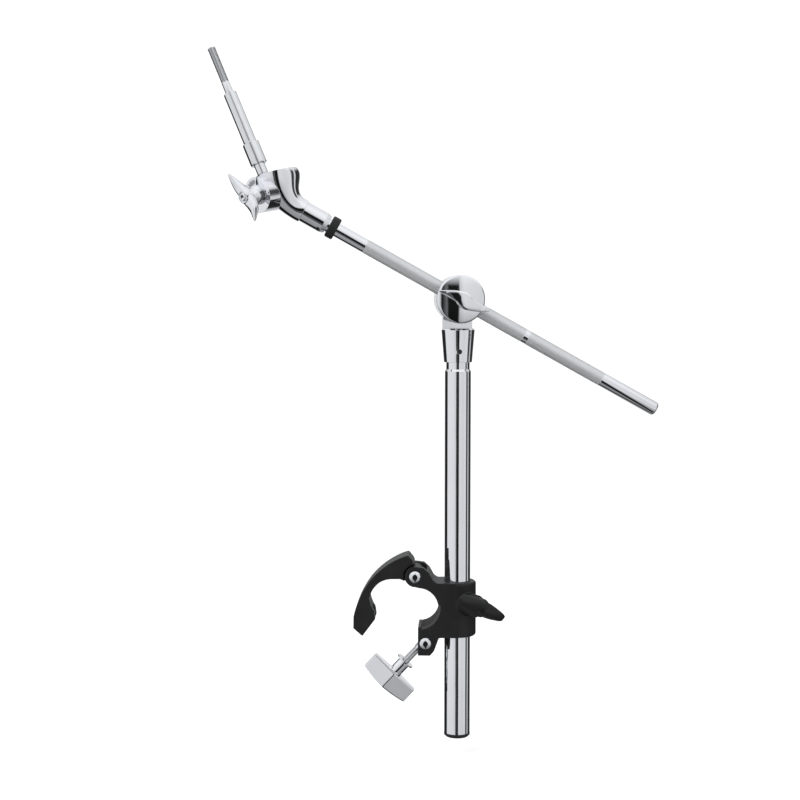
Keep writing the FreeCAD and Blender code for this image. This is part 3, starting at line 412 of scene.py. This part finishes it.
def threaded(crest, low, high):
    """Lathe rows of a right-handed thread that fades in and out."""
    rows = []
    for height in steps(low, high, THREAD_PITCH / ROWS_PER_TURN):
        fade = min(1.0, (height - low) / THREAD_PITCH, (high - height) / THREAD_PITCH)
        rows.append((toothed(crest, THREAD_DEPTH * fade, -1, height / THREAD_PITCH), height))
    return rows


def melted(name, node, voxel, rounds):
    """A copy of a CAD node with its corners worn round."""
    source = NODES[node]
    copy = bpy.data.objects.new(name + "_copy", source.data.copy())
    bpy.context.scene.collection.objects.link(copy)
    remesh = copy.modifiers.new("remesh", "REMESH")
    remesh.mode = "VOXEL"
    remesh.voxel_size = voxel * MM
    smooth = copy.modifiers.new("smooth", "SMOOTH")
    smooth.factor = 0.5
    smooth.iterations = rounds
    return settled(name, copy, source)


def carved(name, node, cutter):
    """A copy of a CAD node with a shape cut out of it; the cutter is in metres."""
    source = NODES[node]
    copy = bpy.data.objects.new(name + "_copy", source.data.copy())
    tool = bpy.data.objects.new(name + "_tool", cutter)
    for thing in (copy, tool):
        bpy.context.scene.collection.objects.link(thing)
    copy.matrix_world = source.matrix_world
    cut = copy.modifiers.new("cut", "BOOLEAN")
    cut.operation = "DIFFERENCE"
    cut.object = tool
    mesh = settled(name, copy, source)
    bpy.data.objects.remove(tool)
    return mesh


def settled(name, copy, source):
    """The mesh of a copied node with its modifiers applied; the copy is thrown away."""
    copy.matrix_world = source.matrix_world
    result = copy.evaluated_get(bpy.context.evaluated_depsgraph_get())
    mesh = bpy.data.meshes.new_from_object(result)
    bpy.data.objects.remove(copy)
    mesh.name = name
    mesh.transform(Matrix.Scale(1 / MM, 4) @ source.matrix_world)
    return mesh


# ---------------------------------------------------------------- boom rod

KNURL_DEPTH = 0.3
KNURL_PITCH = 1.8
KNURL_STARTS = 30
# Where the knurl starts and ends on the rod, and the smooth ring within it.
KNURL_LOW = -158
KNURL_HIGH = 102.6
KNURL_BREAK = (-76, -71)
# How many rows and sides draw each diamond.
POINTS_PER_DIAMOND = 4


def knurl_row(radius, height):
    """The radius of the rod at one height, for a lathe row."""
    edges = (KNURL_LOW, KNURL_HIGH, *KNURL_BREAK)
    inside = min(1.0, min(abs(height - edge) for edge in edges))
    rise = 2 * math.pi * (height - KNURL_LOW) / KNURL_PITCH

    def knurled(angle):
        one = math.cos(KNURL_STARTS * angle + rise)
        two = math.cos(KNURL_STARTS * angle - rise)
        peak = (1 + one) * (1 + two) / 4
        return radius - KNURL_DEPTH * (1 - peak * inside)

    return knurled


def knurled_length(low, high, radius):
    """A closed length of knurled rod."""
    pitch = KNURL_PITCH / POINTS_PER_DIAMOND
    heights = [low + k * pitch for k in range(round((high - low) / pitch) + 1)]
    rows = [(knurl_row(radius, height), height) for height in heights]
    return lathe("knurled_length", rows, KNURL_STARTS * POINTS_PER_DIAMOND)


def boom_rod():
    """The rod: a diamond knurl, with a smooth end on each side and a smooth ring in it."""
    low, high, radius = reach("boom_rod", ROD)
    plain = radius - KNURL_DEPTH / 2
    lower = knurled_length(KNURL_LOW, KNURL_BREAK[0], radius)
    upper = knurled_length(KNURL_BREAK[1], KNURL_HIGH, radius)
    knurled = joined("boom_rod_knurled", lower, upper)
    add_piece(knurled, ROD, "boom", "knurled_steel", "boom_rod", crease=0)
    rounded_end = [
        (plain - 2.5, low),
        (plain - 1.2, low + 0.4),
        (plain - 0.3, low + 1.3),
        (plain, low + 2.6),
    ]
    tail = rounded_end + [(plain, KNURL_LOW)]
    band = [(plain, height) for height in KNURL_BREAK]
    head = [(plain, KNURL_HIGH), (plain, high)]
    smooth = [lathe("smooth_length", rows) for rows in (tail, band, head)]
    add_piece(joined("boom_rod_smooth", *smooth), ROD, "boom", "chrome")


# ---------------------------------------------------------------- tilter

# The round nut, with heights from the boom's axis.
NUT_RADIUS = 23.1
NUT_BEVEL_START = 23.9
DOME_TOP = 28.4
DOME_SAG = 2.8
DOME_RADIUS = 21.3
DOME_ROWS = 20
# The lever on the round nut: pairs of corners (upper x, y, lower x, y) from its narrow left end.
LEVER = (
    (-20.6, 8.2, -20.6, 6.9),
    (-12, 8.3, -12.2, 2.2),
    (-3.6, 7.9, -5.6, -1.8),
    (4, 6.6, -3.4, -5),
    (8.6, 3.4, 2, -9.2),
    (11, -0.4, 9, -10.9),
    (16, -3.9, 16.3, -11.8),
    (22, -6.3, 22.5, -12),
    (26.2, -7.8, 26.4, -11.5),
    (27.1, -9, 27.1, -10.4),
)
# Its height over the face: (share of the way from its lower to its upper side, height).
LEVER_SECTION = (
    (0, 0.3),
    (0.015, 0.9),
    (0.06, 1.35),
    (0.15, 1.6),
    (0.85, 1.6),
    (0.94, 1.35),
    (0.985, 0.9),
    (1, 0.3),
)
LEVER_STEPS = 6
# The teeth round the drum, where it meets the ear.
DRUM_RADIUS = 22.4
TEETH = 61
TOOTH_DEPTH = 1.1
TOOTH_LENGTH = 1.5


def dome(radius):
    """Height of the round nut's domed face."""
    return DOME_TOP - DOME_SAG * min(radius / DOME_RADIUS, 1.0) ** 2


def nut_lever(low):
    """The raised lever, as a closed bar sunk in the nut's face."""
    loops = []
    for upper_x, upper_y, lower_x, lower_y in through(LEVER, LEVER_STEPS):
        loop = [(lower_x, lower_y, low)]
        for share, rise in LEVER_SECTION:
            x = lower_x + (upper_x - lower_x) * share
            y = lower_y + (upper_y - lower_y) * share
            loop.append((x, y, dome(math.hypot(x, y)) + rise))
        loop.append((upper_x, upper_y, low))
        loops.append(loop)
    return skin("lever", loops)


def tilter_nut():
    """The round nut: a bevelled rim, a domed face and its lever."""
    back = reach("tilter_nut", FRONT)[0]
    rim = NUT_RADIUS
    bevel = NUT_BEVEL_START
    rows = [(rim - 1, back), (rim - 0.3, back + 0.3), (rim, back + 1)]
    rows += [(rim, bevel), (rim - 0.25, bevel + 0.6), (rim - 0.9, bevel + 1.2)]
    rows += [(DOME_RADIUS + 0.3, bevel + 1.6)]
    for k in range(DOME_ROWS):
        radius = DOME_RADIUS * (1 - k / DOME_ROWS)
        rows.append((radius, dome(radius)))
    face = lathe("face", rows, 128)
    mesh = joined("tilter_nut_domed", face, nut_lever(back + 1))
    add_piece(mesh, FRONT, "nut", "chrome", "tilter_nut", crease=28)


def tooth_cutter(low, high):
    """A ring round the drum with teeth inside it, in metres."""
    teeth = toothed(DRUM_RADIUS + 0.01, TOOTH_DEPTH, TEETH)
    outside = DRUM_RADIUS + 0.15
    sides = TEETH * 4
    corners = ((teeth, low), (teeth, high), (outside, high), (outside, low))
    verts = [point for radius, height in corners for point in ring(radius, height, sides)]
    faces = []
    for row in range(4):
        here = row * sides
        there = (row + 1) % 4 * sides
        for k in range(sides):
            after = (k + 1) % sides
            faces.append((here + k, here + after, there + after, there + k))
    mesh = bpy.data.meshes.new("tooth_cutter")
    mesh.from_pydata(verts, [], faces)
    mesh = joined("tooth_cutter", mesh)
    mesh.transform(FRONT @ Matrix.Scale(MM, 4))
    return mesh


def tilter_teeth():
    """The teeth round the drum's edge at its joint with the ear."""
    joint = reach("tilter_drum", FRONT)[0]
    cutter = tooth_cutter(joint - 1, joint + TOOTH_LENGTH)
    drum = carved("tilter_drum_toothed", "tilter_drum", cutter)
    add_piece(drum, WORLD, "drum", "chrome", "tilter_drum")


# ---------------------------------------------------------------- cymbal tilter


# How finely the wings are drawn: steps between sections, and points round a section.
BLADE_STEPS = 5
BLADE_SIDES = 20


def blade(side, stations):
    """A wing from (x, low, high, thickness, sideways) sections; side is 1 or -1."""
    loops = []
    for x, low, high, thick, off in through(stations, BLADE_STEPS):
        loop = []
        for k in range(BLADE_SIDES):
            angle = 2 * math.pi * k / BLADE_SIDES
            across = squared(math.cos(angle), 0.5) * thick / 2
            rise = squared(math.sin(angle), 0.5) * (high - low) / 2
            loop.append((side * x, side * (off + across), (low + high) / 2 + rise))
        loops.append(loop)
    return skin("blade", loops)


def cymbal_wing_nut():
    """The wing nut: a flared hub and two pointed, swept wings."""
    start, top, span = reach("cymbal_wing_nut", ELBOW)
    end = top - 2.5
    foot = 9.2
    neck = 6
    rows = [(foot - 0.6, start), (foot, start + 0.4), (foot, start + 1.6), (foot - 1, start + 2.6)]
    rows += [(neck + 1, start + 4.5), (neck + 0.2, start + 7), (neck, end - 1), (neck, end + 0.3)]
    rows += [(neck - 0.4, end + 0.7), (neck - 1.1, end + 0.7), (neck - 1.5, end - 0.4)]
    hub = lathe("hub", rows, 64)
    stations = (
        (1.5, start + 7, end - 0.4, 12, 0),
        (6, start + 7.4, end - 0.2, 11.6, 1.0),
        (10, start + 8.2, end + 0.1, 10.2, 2.0),
        (14, start + 9.2, end + 0.7, 8.2, 2.6),
        (18, start + 10.8, end + 1.5, 5.6, 2.6),
        (span - 2, end - 0.4, end + 2.3, 2.6, 1.8),
        (span - 0.2, end + 1.2, end + 2.1, 0.5, 1.0),
    )
    mesh = joined("cymbal_wing_nut_swept", hub, blade(-1, stations), blade(1, stations))
    place = turned(ELBOW, NUT_WING_TURN)
    add_piece(mesh, place, "wing_nut", "chrome", "cymbal_wing_nut", crease=40)


def cymbal_tilt_bolt():
    """The bolt with its domed head and a hexagonal socket in its end."""
    low, high, head = reach("cymbal_tilt_bolt", ELBOW)
    shank = THREAD_CREST
    under_head = low + 4
    socket = hexagonal(4)
    rows = [(0.3 * head, low), (0.6 * head, low + 0.5), (0.85 * head, low + 1.6)]
    rows += [(head, under_head - 0.4), (head, under_head), (shank, under_head)]
    rows += [(shank, high - 0.8), (shank - 0.6, high), (2.6, high)]
    rows += [(socket, high - 0.1), (socket, high - 3)]
    bolt = lathe("cymbal_tilt_bolt_socket", rows, 72)
    add_piece(bolt, ELBOW, "boom", "bright_steel", "cymbal_tilt_bolt")


def cymbal_rod():
    """The rod: a flat tongue on the bolt, neck, plain shank and threaded tip."""
    tip = reach("cymbal_rod", CYMBAL)[1]
    tongue_end = 19.6
    collar = reach("rod_collar", CYMBAL)[0] - 0.1
    seat_top = 103.6
    thread_start = tip - 37
    neck = 5.3
    core = 4.7
    shank = THREAD_CREST
    rows = [(neck, tongue_end), (neck, collar), (core, collar), (core, seat_top), (shank, seat_top)]
    rows += threaded(shank, thread_start, tip - THREAD_CHAMFER)
    rows += [(shank - THREAD_CHAMFER, tip)]
    rod = lathe("rod", rows, 64)
    # The tongue is round under the bolt and narrows to its root in the rod.
    knuckle = 8.8
    root = neck - 1.9
    half = 3.3
    turns = [math.radians(degrees) for degrees in range(180, 361, 10)]
    edge = [(knuckle * math.cos(turn), knuckle * math.sin(turn)) for turn in turns]
    edge += [(root, tongue_end + 1), (-root, tongue_end + 1)]
    tongue = skin("tongue", [[(x, y, z) for y, z in edge] for x in (-half, half)])
    mesh = joined("cymbal_rod_threaded", rod, tongue)
    add_piece(mesh, CYMBAL, "cymbal_arm", "bright_steel", "cymbal_rod")


# ---------------------------------------------------------------- rack clamp


def swing_bolt():
    """The eye bolt with its thread."""
    high = reach("swing_bolt", BOLT)[1]
    eye_radius = 7.6
    half = 6
    edge = 0.6
    shank = THREAD_CREST
    shank_start = 3.5
    thread_start = eye_radius + 3.2
    rows = [(shank, shank_start), (shank, thread_start - 0.2)]
    rows += threaded(shank, thread_start, high - THREAD_CHAMFER)
    rod = lathe("shank", rows + [(shank - THREAD_CHAMFER, high)], 64)
    rows = [(eye_radius - edge, -half), (eye_radius, edge - half)]
    rows += [(eye_radius, half - edge), (eye_radius - edge, half)]
    eye = lathe("eye", rows, 64)
    eye.transform(Matrix.Rotation(math.radians(90), 4, "X"))
    mesh = joined("swing_bolt_threaded", rod, eye)
    add_piece(mesh, BOLT, "bolt", "bright_steel", "swing_bolt")


# Pieces with round edges all over: name, node, body, slot, voxel size, rounds of smoothing.
ROUNDED = (
    ("clamp_body_moulded", "clamp_body", "clamp", "black_plastic", 0.6, 6),
    ("clamp_arm_moulded", "clamp_arm", "arm", "black_plastic", 0.5, 8),
    ("clamp_knob_cast", "clamp_knob", "knob", "chrome", 0.35, 14),
)


def rounded_pieces():
    """The clamp's moulded body and arm, and its cast bar knob."""
    for name, node, body, slot, voxel, rounds in ROUNDED:
        add_piece(melted(name, node, voxel, rounds), WORLD, body, slot, node, crease=0)


# The rubber strip in the fixed jaw, from its lower to its upper end, in degrees and millimetres.
PAD_LOW = -81.8
PAD_HIGH = 7.8
PAD_INNER = 19.1
PAD_OUTER = 21.4
PAD_HALF_WIDTH = 17.5
PAD_RIBS = 21
RIB_DEPTH = 0.7
POINTS_PER_RIB = 6


def jaw_pad():
    """The rubber strip with ribs across it."""
    count = PAD_RIBS * POINTS_PER_RIB
    ribbed = []
    plain = []
    for k in range(count + 1):
        angle = math.radians(PAD_LOW + (PAD_HIGH - PAD_LOW) * k / count)
        groove_shade_and_dust = (1 + math.cos(2 * math.pi * k / POINTS_PER_RIB)) / 2
        r = PAD_INNER + RIB_DEPTH * groove_shade_and_dust
        ribbed.append((r * math.cos(angle), r * math.sin(angle)))
        plain.append((PAD_OUTER * math.cos(angle), PAD_OUTER * math.sin(angle)))
    edge = ribbed + plain[::-1]
    sides = [[(x, y, z) for x, z in edge] for y in (-PAD_HALF_WIDTH, PAD_HALF_WIDTH)]
    add_piece(skin("jaw_pad_ribbed", sides), WORLD, "clamp", "grey_rubber", "jaw_pad")


def lock_wing():
    """The lock's wing: two twisted blades on a ribbed hub."""
    start, end, span = reach("lock_wing", LOCK)
    hub = 9
    neck = 9.4
    ribs = toothed(10.9, 0.5, 36)
    rows = [(10.6, start), (ribs, start + 0.4), (ribs, start + 3.4)]
    rows += [(neck, start + 3.8), (neck, start + 4.4)]
    for step in range(3):
        low = start + 4.6 + step * 2.4
        rows += [(hub - 0.4, low), (hub, low + 0.3), (hub, low + 1.7), (hub - 0.4, low + 2)]
    rows += [(hub, start + 12), (hub - 0.6, end - 5), (hub - 2, end - 3.6)]
    # Both wings start alike, and one of them ends in a thicker, broader tip.
    wing = (
        (0, 5.5, 15, 38),
        (6, 5.6, 14.5, 38),
        (12, 5.6, 13, 42),
        (18, 5.2, 10.5, 50),
    )
    thin_tip = ((24, 4.6, 6, 58), (span - 2.6, 2, 3, 62), (span - 0.8, 1.2, 1.4, 64))
    thick_tip = ((24, 4.6, 7.5, 58), (span - 2.6, 3.8, 5, 62), (span - 0.8, 3, 3, 64))
    middle = end - 6.8
    thin_wing = twisted_blade(-1, middle, wing + thin_tip)
    thick_wing = twisted_blade(1, middle, wing + thick_tip)
    mesh = joined("lock_wing_twisted", lathe("hub", rows, 144), thin_wing, thick_wing)
    place = turned(LOCK, LOCK_WING_ROLL)
    add_piece(mesh, place, "wing", "black_plastic", "lock_wing", crease=40)


TWISTED_SIDES = 24


def twisted_blade(side, height, stations):
    """One blade from (x, half its chord, thickness, twist in degrees) sections about a height."""
    loops = []
    for x, chord, thick, twist in through(stations, BLADE_STEPS):
        lean = math.radians(twist) * side
        loop = []
        for k in range(TWISTED_SIDES):
            angle = 2 * math.pi * k / TWISTED_SIDES
            along = squared(math.cos(angle), 0.6) * chord
            over = squared(math.sin(angle), 0.6) * thick / 2
            y = over * math.cos(lean) + along * math.sin(lean)
            z = along * math.cos(lean) - over * math.sin(lean)
            loop.append((side * x, y, height + z))
        loops.append(loop)
    return skin("blade", loops)


def add_fine_shapes():
    """Every piece that is finer than its CAD node."""
    boom_rod()
    tilter_nut()
    tilter_teeth()
    cymbal_wing_nut()
    cymbal_tilt_bolt()
    cymbal_rod()
    swing_bolt()
    rounded_pieces()
    jaw_pad()
    lock_wing()


# ---------------------------------------------------------------- studio

CAMERA_PLACE = Vector((0.0442, -1.4381, 0.311))
CAMERA_PITCH = -4.4
CAMERA_YAW = 2.5
CAMERA_LENS = 67.05
CAMERA_TURN = Euler((math.radians(90 + CAMERA_PITCH), 0, math.radians(CAMERA_YAW)))

# How bright shiny things see the studio: (degrees of turn from the camera's direction, level).
LEFT_SIDE = (
    (0, 0.01),
    (16, 0.01),
    (18, 0.7),
    (40, 0.82),
    (100, 0.85),
    (106, 0.02),
    (150, 0.02),
    (162, 0.8),
)
RIGHT_SIDE = (
    (0, 0.01),
    (7, 0.01),
    (9, 0.8),
    (45, 0.72),
    (74, 0.8),
    (79, 0.05),
    (93, 0.05),
    (97, 0.7),
    (105, 0.7),
    (109, 0.02),
    (150, 0.05),
    (162, 0.8),
)
# And how much of that is left by height: (the direction's Z, share).
LOW_TO_HIGH = ((-1, 0.3), (-0.62, 0.5), (-0.25, 0.95), (0.3, 1.0), (0.7, 1.35), (1, 1.35))
# The white ceiling over all of it, by the direction's Z.
CEILING = ((-1, 0), (0.3, 0), (0.5, 0.75), (1, 0.95))

# The colour the camera sees behind the arm.
BACKDROP = (1.12, 1.12, 1.12)


class Sky(Graph):
    """The world's nodes, made with the same short calls."""

    def __init__(self, world):
        world.use_nodes = True
        self.tree = world.node_tree
        self.way = self.add("TexCoord").outputs["Generated"]

    def vector(self, operation, way, value, output):
        """A vector sum of a way and a fixed value."""
        node = self.add("VectorMath", {"operation": operation})
        self.tree.links.new(way, node.inputs[0])
        node.inputs[1].default_value = value
        return node.outputs[output]

    def towards(self, direction, way=None):
        """How far the looking direction, or another way, points along a direction, -1 to 1."""
        return self.vector("DOT_PRODUCT", way or self.way, direction, "Value")

    def level_way(self):
        """The looking direction laid flat on the ground."""
        flat = self.vector("MULTIPLY", self.way, (1, 1, 0), "Vector")
        return self.add("VectorMath", {"operation": "NORMALIZE"}, Vector=flat).outputs["Vector"]

    def math(self, operation, *values):
        """One sum or function of values and sockets."""
        node = self.add("Math", {"operation": operation})
        for socket, value in zip(node.inputs, values):
            if isinstance(value, bpy.types.NodeSocket):
                self.tree.links.new(value, socket)
            else:
                socket.default_value = value
        return node.outputs[0]

    def steps(self, value, low, high, stops):
        """A grey level read from stops between a low and a high value."""
        place = self.add("MapRange", Value=value, From_Min=low, From_Max=high).outputs["Result"]
        ramp = self.add("ValToRGB", Fac=place)
        elements = ramp.color_ramp.elements
        while len(elements) > 1:
            elements.remove(elements[0])
        for number, (at, level) in enumerate(stops):
            position = (at - low) / (high - low)
            stop = elements[0] if number == 0 else elements.new(position)
            stop.position = position
            stop.color = (level, level, level, 1)
        return ramp.outputs["Color"]


def paint_world():
    """A white studio; shiny things see its soft boxes, dark flags and the camera's dark side."""
    world = bpy.data.worlds.new("studio")
    bpy.context.scene.world = world
    sky = Sky(world)
    back = CAMERA_TURN.to_matrix() @ Vector((0, 0, 1))
    back.z = 0
    right = CAMERA_TURN.to_matrix() @ Vector((1, 0, 0))
    facing = sky.towards(back.normalized(), sky.level_way())
    away = sky.math("DEGREES", sky.math("ARCCOSINE", facing))
    left_level = sky.steps(away, 0, 180, LEFT_SIDE)
    right_level = sky.steps(away, 0, 180, RIGHT_SIDE)
    side = sky.add("MapRange", Value=sky.towards(right), From_Min=-0.25, From_Max=0.25)
    level = sky.mix(side.outputs["Result"], left_level, right_level)
    upwards = sky.towards((0, 0, 1))
    level = sky.math("MULTIPLY", level, sky.steps(upwards, -1, 1, LOW_TO_HIGH))
    level = sky.math("MAXIMUM", level, sky.steps(upwards, -1, 1, CEILING))
    cool = sky.mix(level, (0, 0, 0), (0.965, 0.98, 1.0))
    glossy = sky.add("LightPath").outputs["Is Glossy Ray"]
    background = sky.tree.nodes["Background"]
    sky.plug(background, Color=sky.mix(glossy, BACKDROP, cool))


def soft_light(name, place, aim, size, power):
    """A square soft box aimed at a point."""
    data = bpy.data.lights.new(name, "AREA")
    data.size = size
    data.energy = power
    light = bpy.data.objects.new(name, data)
    bpy.context.scene.collection.objects.link(light)
    light.location = place
    light.rotation_euler = (Vector(aim) - Vector(place)).to_track_quat("-Z", "Y").to_euler()
    light.visible_glossy = False


FLOOR_HALF = 40
FLOOR_GAP = 0.02


def make_floor(height):
    """A pale floor below the part, which fades into the backdrop far away."""
    mesh = bpy.data.meshes.new("floor")
    corners = [(x, y, height) for x, y in ((-1, -1), (1, -1), (1, 1), (-1, 1))]
    corners = [(x * FLOOR_HALF, y * FLOOR_HALF, z) for x, y, z in corners]
    mesh.from_pydata(corners, [], [(0, 1, 2, 3)])
    floor = bpy.data.objects.new("floor", mesh)
    bpy.context.scene.collection.objects.link(floor)
    floor.visible_glossy = False
    g = Graph("pale_floor")
    tint = g.mix(g.noise(3, 3), (0.9, 0.9, 0.9), (0.93, 0.93, 0.93))
    g.plug(g.shader, Base_Color=tint, Roughness=0.9)
    far = g.add("VectorMath", {"operation": "LENGTH"})
    g.tree.links.new(g.place, far.inputs[0])
    fade = g.add("MapRange", Value=far.outputs["Value"], From_Min=1.2, From_Max=6)
    glow = g.add("Emission", Color=(*BACKDROP, 1)).outputs["Emission"]
    blend = g.add("MixShader", Fac=fade.outputs["Result"])
    g.tree.links.new(g.shader.outputs["BSDF"], blend.inputs[1])
    g.tree.links.new(glow, blend.inputs[2])
    surface = g.tree.nodes["Material Output"].inputs["Surface"]
    g.tree.links.new(blend.outputs["Shader"], surface)
    mesh.materials.append(g.material)


def make_camera():
    """The camera, where the whole arm fills the frame."""
    data = bpy.data.cameras.new("camera")
    data.lens = CAMERA_LENS
    data.clip_end = 100
    camera = bpy.data.objects.new("camera", data)
    bpy.context.scene.collection.objects.link(camera)
    camera.location = CAMERA_PLACE
    camera.rotation_euler = CAMERA_TURN
    bpy.context.scene.camera = camera


def make_studio():
    """World, lights, floor and camera."""
    paint_world()
    middle = (CAD_BOX[0] + CAD_BOX[1]) / 2
    soft_light("key", (-1.2, -1.4, 1.6), middle, 1.2, 22)
    soft_light("fill", (1.5, -1.0, 0.8), middle, 1.2, 10)
    make_floor(CAD_BOX[0].z - FLOOR_GAP)
    make_camera()
    bpy.context.scene.view_settings.view_transform = "Standard"


finish_cad_nodes()
add_fine_shapes()
make_studio()
